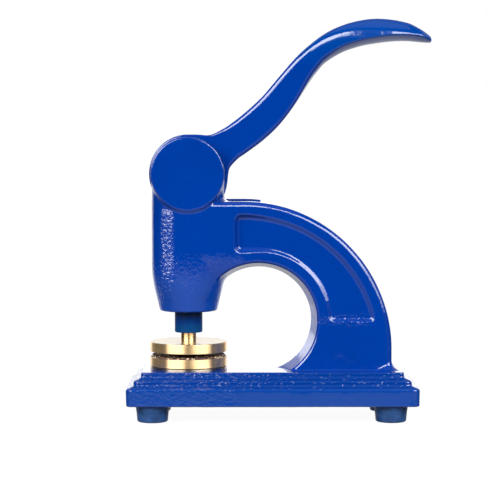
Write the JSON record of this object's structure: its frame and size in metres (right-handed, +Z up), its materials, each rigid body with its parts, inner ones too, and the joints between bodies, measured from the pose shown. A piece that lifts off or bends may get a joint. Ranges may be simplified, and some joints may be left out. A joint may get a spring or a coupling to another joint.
{
  "type": "seal embosser",
  "caption": "Desk seal embosser with a C-shaped cast arm on a stepped base, curved hand lever, sprung ram and round brass dies.",
  "frame": {"origin": "on the desk, under the middle of the press's overall box", "axes": "+X to the right as seen from the front, from the dies towards the arm's back; +Y away from the viewer, along the lever's axle; +Z up"},
  "size_m": [0.1962, 0.076, 0.2574],
  "materials": {
    "enamel": "gloss enamel over a cast surface",
    "dark_enamel": "gloss enamel on a turned bar",
    "brass": "turned and polished",
    "bronze": "machined",
    "steel": "zinc plated",
    "black_steel": "black oxide",
    "counter": "moulded composition, matte",
    "rubber": "matte moulded rubber"
  },
  "bodies": {
    "frame": {"frame_casting": "enamel", "pivot_axle": "steel", "axle_set_screw": "black_steel", "return_spring": "steel", "spring_washer": "steel", "ram_guide_screw": "steel", "guide_locknut": "steel", "counter_pad": "counter", "lower_die": "brass", "lower_die_seat": "brass", "lower_die_screw": "black_steel", "die_screw_washer": "steel", "die_locating_pins": "steel", "foot_front_left": "rubber", "foot_front_right": "rubber", "foot_rear_left": "rubber", "foot_rear_right": "rubber", "foot_screws": "steel", "foot_washers": "steel"},
    "lever": {"lever": "enamel", "lever_bush": "bronze"},
    "ram": {"ram": "dark_enamel", "thrust_pad": "steel", "die_stem": "brass", "stem_set_screw": "black_steel", "upper_die": "brass"}
  },
  "joints": [
    {"name": "lever_pivot", "type": "hinge", "parent": "frame", "child": "lever", "pos_m": [-0.0591, 0, 0.1576], "axis": [0, 1, 0], "range_deg": [0, 38], "stiffness_Nm_per_rad": 1.2, "springref_deg": -45.84},
    {"name": "ram_slide", "type": "slide", "parent": "frame", "child": "ram", "axis": [0, 0, -1], "range_m": [0, 0.00173], "deforming": ["return_spring"]}
  ],
  "couplings": [
    {"joint": "ram_slide", "follows": "lever_pivot", "m_per_rad": 0.0026}
  ]
}
